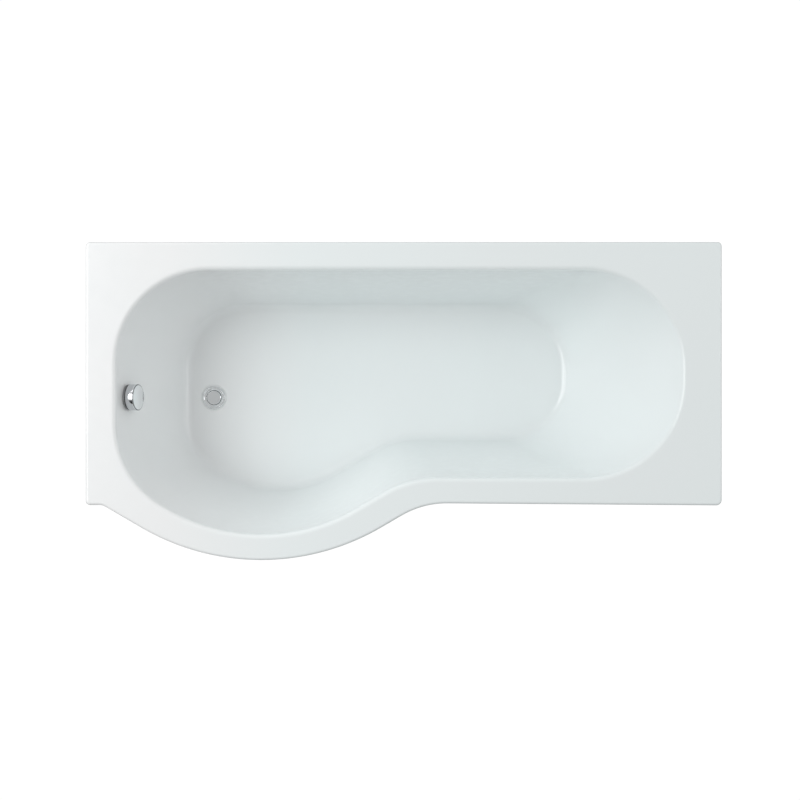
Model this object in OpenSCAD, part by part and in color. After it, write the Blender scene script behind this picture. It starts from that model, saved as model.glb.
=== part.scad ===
// P-shaped shower bath: acrylic shell on an adjustable leg set, with a pop-up waste
// worked by the overflow knob. Foot (waste) end at -X, head end at +X, wall side at +Y,
// bulged front at -Y, rim up. Origin: middle of the footprint, on the floor.

/* [Rim] */
// Length over the rim
bath_l = 1700; // [1450:10:2040]
// Width over the bulge, at the shower end
bath_w = 850; // [820:5:1020]
// Width at the head end
head_w = 704; // [640:1:760]
// Width at the neck, where the bulge runs into the straight front
neck_w = 698; // [640:1:760]
// Width at the foot end, beside the bulge
foot_w = 703; // [640:1:760]
// Height of the rim over the floor of the room
rim_h = 560; // [530:5:680]
// Depth of the turned-down lip round the rim
lip_h = 34; // [20:1:50]
// Radius of the rim's outer top edge
edge_r = 7; // [6:0.5:9]
// Radius of the rim's inner edge, where it rolls into the well
roll_r = 12; // [8:1:16]

/* [Bulge] */
// Middle of the bulge, from the foot end
bulge_at = 469; // [430:1:520]
// Radius of the bulge's outline
bulge_r = 636; // [560:1:700]
// Slope of the two straight runs beside the bulge
bulge_slope = 30.3; // [27:0.1:34]
// Radius of the concave neck in the outline
neck_r = 243; // [150:1:260]

/* [Rim widths] */
// Rim width along the wall
wall_rim = 74; // [60:1:90]
// Rim width at the foot end
foot_rim = 80; // [60:1:100]
// Rim width at the head end
head_rim = 101; // [80:1:120]
// Rim width along the straight front
front_rim = 67; // [60:1:90]
// Rim width at the middle of the bulge
bulge_rim = 67; // [60:1:90]

/* [Well] */
// Depth of the well at the waste
well_depth = 415; // [350:5:430]
// Rise of the floor from the waste to the head end
floor_fall = 10; // [4:1:20]
// How far the wall side leans in from rim to floor
wall_run = 64; // [40:1:80]
// How far the foot end leans in
foot_run = 112; // [60:1:130]
// How far the head end leans in, as a backrest
head_run = 262; // [200:1:320]
// How far the straight front leans in
front_run = 93; // [60:1:110]
// How far the bulge leans in
bulge_run = 94; // [60:1:110]
// Outward bow of the walls at half depth
wall_bow = 8; // [0:1:12]
// Radius between the walls and the floor
floor_r = 32; // [24:1:60]

/* [Thicknesses] */
// Acrylic sheet
sheet_t = 5; // [4:0.5:5.5]
// Glass-fibre backing
backing_t = 3; // [2:0.5:5]
// Baseboard
board_t = 18; // [12:1:22]
// Thickness of the rim battens
batten_t = 18; // [12:1:22]
// Width of the rim battens
batten_w = 30; // [20:1:34]

/* [Legs] */
// Height of the steel rails
rail_h = 40; // [34:1:50]
// Width of the steel rails
rail_w = 30; // [26:1:40]
// Steel sheet of the rails and brackets
steel_t = 2.5; // [2:0.5:3]
// Radius of the threaded leg stems
stem_r = 5; // [4:0.5:6]
// Radius of the feet
foot_r = 30; // [24:1:36]

/* [Waste and overflow] */
// Middle of the waste, from the foot end
waste_at = 275; // [260:1:300]
// Middle of the waste and the overflow, from the wall
drain_from_wall = 415; // [400:1:430]
// Middle of the overflow knob below the rim
overflow_drop = 75; // [66:1:84]
// Radius of the knob
knob_r = 36; // [32:0.5:38]
// Length of the knob
knob_l = 26; // [20:1:36]
// Radius of the waste flange
flange_r = 35; // [33:0.5:37]
// Radius of the pop-up plug's cap
cap_r = 21.5; // [20:0.5:22]
// Radius of the outlet tail, for a one and a half inch pipe thread
tail_r = 23.9; // [22:0.1:25]
// Lift of the plug
plug_lift = 10.9; // [8:0.1:10.9]
// Outer radius of the overflow hose over its ribs
hose_r = 17; // [15:0.5:18]
// Radius of the cable's sheath
cable_r = 3; // [2.5:0.5:4]

/* [Hidden] */
$fn = 48;

// Clearances
bond = 0.2;      // resin line between bonded pieces
seat = 0.1;      // between pieces that bear on each other
run = 0.05;      // radial, shaft in its bearing
pilot = 0.05;    // radial, screw in its pilot hole

// ---- Plan outlines -------------------------------------------------------------------
// A corner is [x, y, reach]: its point, and how far from it the rounding starts.
// Corners go round from the head end's wall corner: head wall, foot wall, foot front,
// notch, bulge, neck, head front.
arc_steps = [8, 8, 6, 2, 10, 5, 8];
edge_steps = [5, 2, 0, 0, 0, 3, 1];

foot_x = -bath_l / 2;
head_x = bath_l / 2;
wall_y = bath_w / 2;
bulge_y = -bath_w / 2;
bulge_x = foot_x + bulge_at;
front_head_y = wall_y - head_w;
front_neck_y = wall_y - neck_w;
foot_front_y = wall_y - foot_w;
waste_x = foot_x + waste_at;
drain_y = wall_y - drain_from_wall;

function xy(c) = [c.x, c.y];
function unit(v) = v / norm(v);
function sum3(v) = v[0] + v[1] + v[2];

// The bulge's two straight runs meet at this y, below its arc
function run_apex(low_y, r) = low_y - r * (1 / cos(bulge_slope) - 1);
function run_y(x, apex) = apex + abs(x - bulge_x) * tan(bulge_slope);
function run_dx(y, apex) = (y - apex) / tan(bulge_slope);

outline_apex = run_apex(bulge_y, bulge_r);
outline_corners = [
    [head_x, wall_y, 11],
    [foot_x, wall_y, 13],
    [foot_x, foot_front_y, 12],
    [bulge_x - run_dx(foot_front_y, outline_apex), foot_front_y, 9],
    [bulge_x, outline_apex, bulge_r * tan(bulge_slope)],
    [bulge_x + run_dx(front_neck_y, outline_apex), front_neck_y, neck_r * tan(bulge_slope / 2)],
    [head_x, front_head_y, 15]
];

// Where the well's corners start to round: head wall, foot wall, foot front, head front
rim_reaches = [265, 250, 148, 262];
rim_neck_reach = 80;
rim_bulge_r = bulge_r - 136;
floor_reaches = [190, 185, 105, 175];
floor_neck_reach = 60;
floor_bulge_r = bulge_r - 291;

// The well's loops have no notch, so that corner is a straight stretch of the bulge's run
function well_corners(head, foot, wall, front, low_y, r, reaches, neck) =
    let (apex = run_apex(low_y, r),
         c = [foot, run_y(foot, apex)],
         d = [bulge_x, apex],
         spare = norm(d - c) - reaches[2] - r * tan(bulge_slope),
         n = c + unit(d - c) * (reaches[2] + spare / 2))
    [
        [head, wall, reaches[0]],
        [foot, wall, reaches[1]],
        [c.x, c.y, reaches[2]],
        [n.x, n.y, spare * 0.4],
        [d.x, d.y, r * tan(bulge_slope)],
        [bulge_x + run_dx(front, apex), front, neck],
        [head, front, reaches[3]]
    ];

rim_corners = well_corners(head_x - head_rim, foot_x + foot_rim, wall_y - wall_rim,
    front_neck_y + front_rim, bulge_y + bulge_rim, rim_bulge_r, rim_reaches, rim_neck_reach);
floor_corners = well_corners(head_x - head_rim - head_run, foot_x + foot_rim + foot_run,
    wall_y - wall_rim - wall_run, front_neck_y + front_rim + front_run,
    bulge_y + bulge_rim + bulge_run, floor_bulge_r, floor_reaches, floor_neck_reach);

// A circular corner as a conic from leg to leg
function corner_arc(before, at, after, reach, steps) =
    let (a = at + unit(before - at) * reach,
         b = at + unit(after - at) * reach,
         turn = acos(min(1, unit(at - before) * unit(after - at))))
    [for (k = [0:steps])
        let (t = k / steps,
             c = [(1 - t) * (1 - t), 2 * cos(turn / 2) * t * (1 - t), t * t])
        (c[0] * a + c[1] * at + c[2] * b) / sum3(c)];

function loop_points(corners) =
    let (n = len(corners))
    [for (i = [0:n - 1])
        let (before = corners[(i + n - 1) % n],
             here = corners[i],
             after = corners[(i + 1) % n],
             arc = corner_arc(xy(before), xy(here), xy(after), here[2], arc_steps[i]),
             from = arc[arc_steps[i]],
             to = xy(after) + unit(xy(here) - xy(after)) * after[2])
        each concat(arc, [for (k = [1:1:edge_steps[i]]) from + (to - from) * k / (edge_steps[i] + 1)])];

// A vertex between two edges moves by d square to both; the side is to the right of the path
function right_of(v) = [v.y, -v.x];
function mitre(before, at, after, d) =
    let (n1 = right_of(unit(at - before)), n2 = right_of(unit(after - at)))
    at + (n1 + n2) * d / (1 + n1 * n2);
function inset(loop, d) =
    let (n = len(loop))
    [for (i = [0:n - 1]) mitre(loop[(i + n - 1) % n], loop[i], loop[(i + 1) % n], -d)];
function at_z(loop, z) = [for (p = loop) [p.x, p.y, z]];

outline = loop_points(outline_corners);
rim_loop = loop_points(rim_corners);
floor_loop = loop_points(floor_corners);
ring_n = len(outline);

// ---- Well sections -------------------------------------------------------------------
// The rim's loop and the floor's loop are joined point by point, bowed outwards between.
floor_rate = floor_fall / (floor_corners[0].x - waste_x);
floor_tilt = atan(floor_rate);
function floor_z(x) = rim_h - well_depth + floor_rate * (x - waste_x);

// Tangent of a loop at a vertex, halfway between its two edges
function tangent(loop, i) =
    let (n = len(loop))
    unit(unit(loop[(i + 1) % n] - loop[i]) + unit(loop[i] - loop[(i + n - 1) % n]));
function square_to(v, t) = unit(v - (v * t) * t);
function fillet(at, leg_a, leg_b, r, steps) =
    let (reach = r * tan(acos(-leg_a * leg_b) / 2))
    corner_arc(at + leg_a, at, at + leg_b, reach, steps);

rim_line = at_z(rim_loop, rim_h);
floor_line = [for (p = floor_loop) [p.x, p.y, floor_z(p.x)]];
floor_up = unit([-floor_rate, 0, 1]);
wall_cuts = 3;
function bow_at(s) = wall_bow * 4 * s * (1 - s);
function outward(i) = cross(tangent(rim_line, i), [0, 0, 1]);
function floor_inward(i) = cross(floor_up, tangent(floor_line, i));
function wall_point(i, s) =
    rim_line[i] + (floor_line[i] - rim_line[i]) * s + outward(i) * bow_at(s);

// From the rim's roll, down the wall, through the floor's fillet
function section(i) =
    let (rim_t = tangent(rim_line, i),
         floor_t = tangent(floor_line, i),
         w = [for (k = [0:wall_cuts]) wall_point(i, k / wall_cuts)])
    concat(
        fillet(w[0], outward(i), square_to(w[1] - w[0], rim_t), roll_r, 3),
        [w[1], w[2]],
        fillet(w[3], square_to(w[2] - w[3], floor_t), floor_inward(i), floor_r, 4)
    );
sections = [for (i = [0:ring_n - 1]) section(i)];
section_n = len(sections[0]);
function section_ring(k) = [for (s = sections) s[k]];

// The same ring at a depth d under the showing surface: each vertex moves square to the
// two facets that meet there along the section
function facet_normal(ring_t, step) = unit(cross(ring_t, unit(step)));
function sunk_ring(k, d) =
    let (ring = section_ring(k))
    [for (i = [0:ring_n - 1])
        let (s = sections[i],
             t = tangent(ring, i),
             to = k == section_n - 1 ? floor_inward(i) : s[k + 1] - s[k],
             from = k == 0 ? -outward(i) : s[k] - s[k - 1],
             n1 = facet_normal(t, from),
             n2 = facet_normal(t, to))
        s[k] - (n1 + n2) * d / (1 + n1 * n2)];

// All rings at a depth d, floor ring first
function well_rings(d) = [for (k = [section_n - 1:-1:0]) sunk_ring(k, d)];
function floor_middle(d) = [waste_x, drain_y, floor_z(waste_x) - d / cos(floor_tilt)];
function reversed(v) = [for (i = [len(v) - 1:-1:0]) v[i]];
function floor_ring_xy() = [for (p = section_ring(section_n - 1)) xy(p)];

// Rings of the rim's outer edge; d is the depth under the showing surface
function edge_rings(d) =
    let (r = edge_r - d)
    [
        at_z(inset(outline, edge_r), rim_h - d),
        at_z(inset(outline, edge_r - r * cos(45)), rim_h - edge_r + r * sin(45)),
        at_z(inset(outline, d), rim_h - edge_r),
        at_z(inset(outline, d), rim_h - lip_h)
    ];

// A closed solid from rings between two end points. Each facet is split along the same
// diagonal on its way up and on its way down, so both faces of a wall stay parallel.
module ring_solid(first, rings, last) {
    n = len(rings[0]);
    m = len(rings);
    points = concat([first], [for (r = rings) each r], [last]);
    end = len(points) - 1;
    faces = [
        for (i = [0:n - 1]) [0, 1 + (i + 1) % n, 1 + i],
        for (k = [0:m - 2], i = [0:n - 1])
            let (a = 1 + k * n, b = a + n, j = (i + 1) % n)
            each rings[k][i].z <= rings[k + 1][i].z
                ? [[a + i, a + j, b + j], [a + i, b + j, b + i]]
                : [[a + i, a + j, b + i], [a + j, b + j, b + i]],
        for (i = [0:n - 1])
            let (a = 1 + (m - 1) * n)
            [a + i, a + (i + 1) % n, end]
    ];
    polyhedron(points = points, faces = faces);
}

// ---- Places --------------------------------------------------------------------------
wall_skin = sheet_t + bond + backing_t;
foot_drop = rim_h - floor_z(foot_x + foot_rim + foot_run);
foot_lean = atan((foot_run / wall_cuts - bow_at(1 / wall_cuts)) * wall_cuts / foot_drop);
overflow_x = foot_x + foot_rim + overflow_drop * tan(foot_lean);
overflow_z = rim_h - overflow_drop;
overflow_axis = [cos(foot_lean), 0, sin(foot_lean)];
function along_overflow(a) = [overflow_x, drain_y, overflow_z] + overflow_axis * a;

module at_overflow() {
    translate([overflow_x, drain_y, overflow_z]) rotate([0, 90 - foot_lean, 0]) children();
}
module at_waste() {
    translate([waste_x, drain_y, 0]) children();
}
module ring(outer, inner, z0, z1) {
    translate([0, 0, z0]) difference() {
        cylinder(h = z1 - z0, r = outer);
        translate([0, 0, -1]) cylinder(h = z1 - z0 + 2, r = inner);
    }
}

// Waste levels
recess_t = 2;
recess_r = flange_r + 3;
waste_hole_r = 26;
overflow_hole_r = 27;
recess_z = floor_z(waste_x) - recess_t;
flange_seal_t = 1.2;
flange_z = recess_z + 2 * run + flange_seal_t;
flange_t = 3;
flange_top = flange_z + flange_t;
sleeve_r = 24;
sleeve_bore_r = 20;
dish_r = 29;
dish_foot_r = 22.5;
dish_t = 2.5;
shoulder_z = flange_top - 5.9;
plug_seal_t = 2;
cap_t = 3;
under_z = floor_z(waste_x) - wall_skin - 2 * bond;
gasket_t = 3;
body_flange_z = under_z - gasket_t - seat;
body_flange_t = 4;
body_r = 29;
inlet_z = body_flange_z - 41;
body_floor_z = inlet_z - 18;
body_floor_t = 4;
tail_l = 24;
sleeve_end_z = body_flange_z - 20;
guide_z = inlet_z + 13.5;
guide_t = 6;

// Lever: pivot beside the stem, finger under the stem's tip, which it lifts from as far
// below level as above; its arm is outside the barrel, for the cable
lever_x = -15;
lever_swing = atan(plug_lift / (-2 * lever_x));
lever_r = 3;
finger_t = 4;
stem_tip_r = 2.5;
lever_gap = 0.3;
stem_tip_z = inlet_z - (-lever_x - stem_tip_r) * tan(lever_swing)
    + finger_t / 2 / cos(lever_swing) + lever_gap;
cable_y = 34;
cable_end_z = inlet_z + 12;
box_y = [24, 42];

// Overflow depths along its axis, negative behind the wall
seal_back = -wall_skin - seat - 3;
body_front = seal_back - seat;
chamber_back = body_front - 32;
cam_room = 12;
body_back = chamber_back - 3 - cam_room;
spout_a = body_front - 18;
spout = along_overflow(spout_a);
spout_end_z = spout.z - 48;
gland = along_overflow(body_back + cam_room / 2);
gland_end_z = gland.z - 34;

// ---- Shell and its backing -----------------------------------------------------------
module waste_cut(r) {
    at_waste() translate([0, 0, floor_z(waste_x) - 30]) cylinder(h = 60, r = r);
}
module overflow_cut(r) {
    at_overflow() translate([0, 0, -30]) cylinder(h = 60, r = r);
}

module bath_shell() {
    color([0.93, 0.95, 0.95]) difference() {
        ring_solid(
            floor_middle(0),
            concat(well_rings(0), edge_rings(0), reversed(edge_rings(sheet_t)),
                   reversed(well_rings(sheet_t))),
            floor_middle(sheet_t)
        );
        waste_cut(waste_hole_r);
        overflow_cut(overflow_hole_r);
        at_waste() translate([0, 0, recess_z]) cylinder(h = 30, r = recess_r);
    }
}

// The backing also runs a little way out under the rim
backing_lap = 12;
function lap_ring(d) =
    let (ring = sunk_ring(0, d))
    [for (i = [0:ring_n - 1]) ring[i] + outward(i) * backing_lap];

module glass_fibre_backing() {
    inner = sheet_t + bond;
    outer = inner + backing_t;
    color([0.86, 0.84, 0.72]) difference() {
        ring_solid(
            floor_middle(inner),
            concat(well_rings(inner), [lap_ring(inner), lap_ring(outer)],
                   reversed(well_rings(outer))),
            floor_middle(outer)
        );
        waste_cut(waste_hole_r);
        overflow_cut(overflow_hole_r);
    }
}

// ---- Board and battens ---------------------------------------------------------------
board_gap = 12;
board_start = waste_x + 62;
board_top = -wall_skin - bond;
screw_r = 2;
screw_l = 14;

// Level of the board's underside at x
function board_z(x) = floor_z(x) + (board_top - board_t) / cos(floor_tilt);

// Children lie in the floor's own slope, with z = 0 on the showing floor
module on_floor() {
    translate([waste_x, 0, floor_z(waste_x)]) rotate([0, -floor_tilt, 0]) children();
}

module baseboard() {
    color([0.72, 0.58, 0.40]) difference() {
        on_floor() translate([-waste_x, 0, board_top - board_t]) linear_extrude(board_t)
            intersection() {
                polygon(inset(floor_ring_xy(), board_gap));
                translate([board_start, -bath_w / 2]) square([bath_l, bath_w]);
            }
        for (p = screw_places) translate([p.x, p.y, p.z - 1]) cylinder(h = screw_l + 2, r = screw_r + pilot);
    }
}

batten_z = rim_h - sheet_t - bond - batten_t;
lip_gap = 4;
batten_hole = screw_r + pilot;

module batten(corner, size) {
    color([0.80, 0.66, 0.45])
        translate([corner.x, corner.y, batten_z]) cube([size.x, size.y, batten_t]);
}
wall_batten_y = wall_y - sheet_t - lip_gap - batten_w;
module wall_batten() {
    difference() {
        batten([foot_x + foot_rim, wall_batten_y], [bath_l - foot_rim - head_rim, batten_w]);
        for (p = bracket_screw_places)
            translate([p.x, p.y, batten_z - 1]) cylinder(h = screw_l + 1, r = batten_hole);
    }
}
module front_batten() {
    start = rim_corners[5].x + 70;
    batten([start, front_neck_y + sheet_t + lip_gap], [head_x - head_rim - start - 60, batten_w]);
}
module foot_batten() {
    batten([foot_x + sheet_t + lip_gap, foot_front_y + 60], [batten_w, foot_w - 140]);
}
module head_batten() {
    batten([head_x - sheet_t - lip_gap - batten_w - 10, front_neck_y + 30], [batten_w + 10, neck_w - 100]);
}
module bulge_batten() {
    outer = bulge_r - sheet_t - lip_gap;
    spread = 21;
    color([0.80, 0.66, 0.45]) translate([bulge_x, bulge_y + bulge_r, batten_z])
        rotate([0, 0, 270 - spread]) rotate_extrude(angle = 2 * spread, $fn = 180)
            translate([outer - batten_w, 0]) square([batten_w, batten_t]);
}

// ---- Legs ----------------------------------------------------------------------------
// A rail is [x, y from, y to]; a leg is [x, y]
foot_rail_x = waste_x + 150;
head_rail_x = floor_corners[0].x - 150;
centre_x = (foot_rail_x + head_rail_x) / 2;
centre_y = (wall_y - wall_rim - wall_run + front_neck_y + front_rim + front_run) / 2;
rail_wall_y = wall_y - wall_rim - wall_run - 8;
rail_bulge_y = bulge_y + bulge_rim + bulge_run - 6;
rail_front_y = front_neck_y + front_rim + front_run - 60;
leg_inset = 28;
foot_rail_span = [foot_rail_x, rail_bulge_y, rail_wall_y];
head_rail_span = [head_rail_x, rail_front_y, rail_wall_y];
centre_span = [centre_x, centre_y - 40, centre_y + 40];

foot_wall_leg = [foot_rail_x, rail_wall_y - leg_inset];
foot_front_leg = [foot_rail_x, rail_bulge_y + leg_inset];
head_wall_leg = [head_rail_x, rail_wall_y - leg_inset];
head_front_leg = [head_rail_x, rail_front_y + leg_inset];
centre_leg = [centre_x, centre_y];
legs = [foot_wall_leg, foot_front_leg, head_wall_leg, head_front_leg, centre_leg];

nut_t = 8;
nut_r = stem_r * 1.85;
hub_r = 12;
hub_top = 22;
pad_t = 6;
socket_z = 8;
// Underside of the rail's top flange bears on the board at its lower edge
function rail_top(x) = board_z(x - rail_w / 2) - seat;
function rail_foot(x) = rail_top(x) - rail_h;

function rail_screws_of(span, at) =
    [for (y = at) [span[0] + rail_w * 0.2, y, rail_top(span[0])]];
screw_places = concat(
    rail_screws_of(foot_rail_span, [centre_y - 110, centre_y - 30, centre_y + 40, centre_y + 110]),
    rail_screws_of(head_rail_span, [centre_y - 90, centre_y - 30, centre_y + 30, centre_y + 90]),
    rail_screws_of(centre_span, [centre_y - 30, centre_y + 30])
);

module screw(length) {
    translate([0, 0, -3]) cylinder(h = 3, r1 = screw_r * 1.3, r2 = screw_r * 2.2);
    cylinder(h = length, r = screw_r);
}

// A channel on its side, open towards the foot end
module rail(span, stems) {
    x = span[0];
    z = rail_foot(x);
    color([0.74, 0.76, 0.78]) difference() {
        translate([x - rail_w / 2, span[2], z]) rotate([90, 0, 0])
            linear_extrude(span[2] - span[1]) difference() {
                square([rail_w, rail_h]);
                translate([-1, steel_t]) square([rail_w - steel_t + 1, rail_h - 2 * steel_t]);
            }
        for (s = stems) translate([s.x, s.y, z - 1]) cylinder(h = steel_t + 2, r = stem_r + 0.5);
        for (p = screw_places)
            if (p.x > x - rail_w && p.x < x + rail_w)
                translate([p.x, p.y, p.z - steel_t - 1]) cylinder(h = steel_t + 2, r = screw_r + 0.4);
    }
}
module foot_rail() { rail(foot_rail_span, [foot_wall_leg, foot_front_leg]); }
module head_rail() { rail(head_rail_span, [head_wall_leg, head_front_leg]); }
module centre_bracket() { rail(centre_span, [centre_leg]); }

module rail_screws() {
    color([0.80, 0.74, 0.50]) for (p = screw_places)
        translate([p.x, p.y, p.z - steel_t - seat]) screw(screw_l);
}
module leg_nuts() {
    color([0.70, 0.71, 0.73]) for (p = legs, z = [-nut_t - seat, steel_t + seat])
        translate([p.x, p.y, rail_foot(p.x) + z]) difference() {
            cylinder(h = nut_t, r = nut_r, $fn = 6);
            translate([0, 0, -1]) cylinder(h = nut_t + 2, r = stem_r + 2 * run);
        }
}
module stem(p) {
    top = rail_foot(p.x) + steel_t + nut_t + 7;
    color([0.70, 0.71, 0.73]) translate([p.x, p.y, socket_z + seat])
        cylinder(h = top - socket_z, r = stem_r);
}
module foot(p) {
    color([0.16, 0.16, 0.17]) translate([p.x, p.y, 0]) difference() {
        union() {
            cylinder(h = pad_t, r = foot_r);
            translate([0, 0, pad_t]) cylinder(h = 6, r1 = foot_r - 4, r2 = hub_r);
            cylinder(h = hub_top, r = hub_r);
        }
        translate([0, 0, socket_z]) cylinder(h = hub_top, r = stem_r + run);
    }
}
module foot_wall_stem() { stem(foot_wall_leg); }
module foot_front_stem() { stem(foot_front_leg); }
module head_wall_stem() { stem(head_wall_leg); }
module head_front_stem() { stem(head_front_leg); }
module centre_stem() { stem(centre_leg); }
module foot_wall_foot() { foot(foot_wall_leg); }
module foot_front_foot() { foot(foot_front_leg); }
module head_wall_foot() { foot(head_wall_leg); }
module head_front_foot() { foot(head_front_leg); }
module centre_foot() { foot(centre_leg); }

// ---- Wall brackets -------------------------------------------------------------------
// A cranked strip: under the batten, down past the lip, out to the wall, down again
bracket_w = 40;
bracket_at = bath_l * 0.3;
bracket_lip = 24;
bracket_foot = 48;
bracket_hole_r = 3;
bracket_top = batten_z - seat;
crank_y = wall_y - sheet_t - lip_gap - steel_t;
crank_z = rim_h - lip_h - bracket_lip;
wall_hole_z = crank_z - bracket_foot / 2;
bracket_screw_places = [for (x = [-bracket_at, bracket_at], dx = [-12, 12])
    [x + dx, wall_batten_y + batten_w / 2]];

module wall_brackets() {
    profile = [
        [wall_batten_y, bracket_top], [crank_y + steel_t, bracket_top],
        [crank_y + steel_t, crank_z + steel_t], [wall_y, crank_z + steel_t],
        [wall_y, crank_z - bracket_foot], [wall_y - steel_t, crank_z - bracket_foot],
        [wall_y - steel_t, crank_z], [crank_y, crank_z],
        [crank_y, bracket_top - steel_t], [wall_batten_y, bracket_top - steel_t]
    ];
    color([0.74, 0.76, 0.78]) difference() {
        for (x = [-bracket_at, bracket_at]) translate([x - bracket_w / 2, 0, 0])
            rotate([90, 0, 90]) linear_extrude(bracket_w) polygon(profile);
        for (p = bracket_screw_places)
            translate([p.x, p.y, bracket_top - steel_t - 1]) cylinder(h = steel_t + 2, r = screw_r + 0.4);
        for (x = [-bracket_at, bracket_at]) translate([x, wall_y + 1, wall_hole_z])
            rotate([90, 0, 0]) cylinder(h = steel_t + 2, r = bracket_hole_r);
    }
}
module bracket_screws() {
    color([0.80, 0.74, 0.50]) for (p = bracket_screw_places)
        translate([p.x, p.y, bracket_top - steel_t - seat]) screw(screw_l);
}

// ---- Overflow ------------------------------------------------------------------------
overflow_flange_r = 37;
barrel_r = 27;
chamber_r = 23;
boss_r = 10;
spindle_r = 4;
spout_r = 15;
spout_bore_r = 12;
gland_r = 6;
knob_gap = 5;
knob_wall = 2.5;
plate_t = 3;

module overflow_seal() {
    color([0.13, 0.13, 0.14]) at_overflow() ring(overflow_flange_r, overflow_hole_r + 1, seal_back, seal_back + 3);
}
module overflow_body() {
    color([0.93, 0.93, 0.92]) difference() {
        union() {
            at_overflow() {
                translate([0, 0, body_front - 4]) cylinder(h = 4, r = overflow_flange_r);
                translate([0, 0, body_back]) cylinder(h = body_front - body_back, r = barrel_r);
            }
            translate([spout.x, spout.y, spout_end_z]) cylinder(h = 48 - 4, r = spout_r);
            translate([gland.x, drain_y + cable_y, gland_end_z]) cylinder(h = 34, r = gland_r);
            translate([gland.x - 2, drain_y + chamber_r, gland.z - 14])
                cube([8, cable_y - chamber_r, 14]);
        }
        at_overflow() difference() {
            translate([0, 0, chamber_back]) cylinder(h = 60, r = chamber_r);
            translate([0, 0, chamber_back - 1]) cylinder(h = body_front - chamber_back + 7, r = boss_r);
        }
        at_overflow() translate([0, 0, body_back - 1]) cylinder(h = cam_room + 1, r = chamber_r);
        at_overflow() translate([0, 0, body_back - 1]) cylinder(h = 80, r = spindle_r + run);
        translate([spout.x, spout.y, spout_end_z - 1]) cylinder(h = 40, r = spout_bore_r);
        translate([gland.x, drain_y + cable_y, gland_end_z - 1]) cylinder(h = 30, r = 1);
    }
}
module overflow_rear_cover() {
    color([0.93, 0.93, 0.92]) at_overflow() {
        translate([0, 0, body_back - seat - 2.5]) cylinder(h = 2.5, r = barrel_r);
        ring(chamber_r - 0.2, chamber_r - 2.2, body_back - seat - 1, body_back + 3);
    }
}
module overflow_plate() {
    color([0.86, 0.87, 0.88]) at_overflow() difference() {
        union() {
            translate([0, 0, 0.3]) cylinder(h = plate_t, r = overflow_hole_r + 3);
            translate([0, 0, body_front - 8]) cylinder(h = 0.3 - body_front + 9, r = boss_r + 3);
        }
        translate([0, 0, body_front - 9]) cylinder(h = 6.3 - body_front + 9, r = boss_r + run);
        for (a = [0:60:300]) rotate([0, 0, a]) translate([20, 0, -1]) cylinder(h = 6, r = 4.5, $fn = 32);
    }
}
module overflow_knob() {
    back = knob_gap;
    front = knob_gap + knob_l;
    profile = [
        [spindle_r + run, front - 12], [10, front - 12], [10, front - knob_wall],
        [knob_r - knob_wall, front - knob_wall], [knob_r - knob_wall, back],
        [knob_r, back], [knob_r, front - 1.5], [knob_r - 1.5, front], [0, front],
        [0, front - 4], [spindle_r + run, front - 4]
    ];
    color([0.80, 0.82, 0.84]) at_overflow() rotate_extrude($fn = 96) polygon(profile);
}
module knob_spindle() {
    color([0.78, 0.70, 0.45]) at_overflow()
        translate([0, 0, body_back + 2]) cylinder(h = knob_gap + knob_l - 4 - seat - body_back - 2, r = spindle_r);
}
module cable_cam() {
    z = body_back + 3.5;
    color([0.20, 0.20, 0.21]) at_overflow() translate([0, 0, z]) difference() {
        union() {
            cylinder(h = 6, r = 9);
            translate([-4, 0, 0]) cube([8, 14, 6]);
            translate([0, 14, 0]) cylinder(h = 6, r = 4);
        }
        translate([0, 0, -1]) cylinder(h = 8, r = spindle_r + run);
        translate([0, 14, -1]) cylinder(h = 8, r = 1.6);
    }
}

// ---- Hose and cable ------------------------------------------------------------------
// Both drop straight, turn once and run level into the waste body.
hose_nut_r = hose_r + 4;
hose_wall = 4;
hose_bend = 110;
rib_pitch = 6;
hose_top = [spout.x, spout_end_z - seat];
hose_end = [waste_x - body_r - 17 - seat, inlet_z];
cable_bend = 125;
cable_top = [gland.x, gland_end_z - seat];
cable_end = [waste_x - body_r - 13 - seat, cable_end_z];

// Length, and the point with its heading at a distance, on drop, turn and level run
function route_len(top, end, r) = (top.y - end.y - r) + r * PI / 2 + (end.x - top.x - r);
function route_at(top, end, r, s) =
    let (drop = top.y - end.y - r, turn = r * PI / 2)
    s <= drop ? [top.x, top.y - s, 0] :
    s <= drop + turn ?
        let (a = (s - drop) / turn * 90)
        [top.x + r - r * cos(a), end.y + r - r * sin(a), a] :
    [top.x + r + s - drop - turn, end.y, 90];

// A ring of points about the route; a turns from straight down (0) to along +X (90)
function route_ring(q, y, r, sides) =
    [for (k = [0:sides - 1])
        let (t = 360 * k / sides)
        [q[0] + r * cos(t) * cos(q[2]), y + r * sin(t), q[1] + r * cos(t) * sin(q[2])]];

module tube_solid(rings) {
    n = len(rings[0]);
    m = len(rings);
    polyhedron(
        points = [for (r = rings) each r],
        faces = [for (k = [0:m - 1], i = [0:n - 1])
            let (a = k * n, b = ((k + 1) % m) * n, j = (i + 1) % n)
            each [[a + i, b + j, a + j], [a + i, b + i, b + j]]]
    );
}
module rod_solid(rings, first, last) {
    n = len(rings[0]);
    m = len(rings);
    points = concat([first], [for (r = rings) each r], [last]);
    faces = [
        for (i = [0:n - 1]) [0, 1 + i, 1 + (i + 1) % n],
        for (k = [0:m - 2], i = [0:n - 1])
            let (a = 1 + k * n, b = a + n, j = (i + 1) % n)
            each [[a + i, b + j, a + j], [a + i, b + i, b + j]],
        for (i = [0:n - 1]) let (a = 1 + (m - 1) * n) [a + (i + 1) % n, a + i, len(points) - 1]
    ];
    polyhedron(points = points, faces = faces);
}

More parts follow.
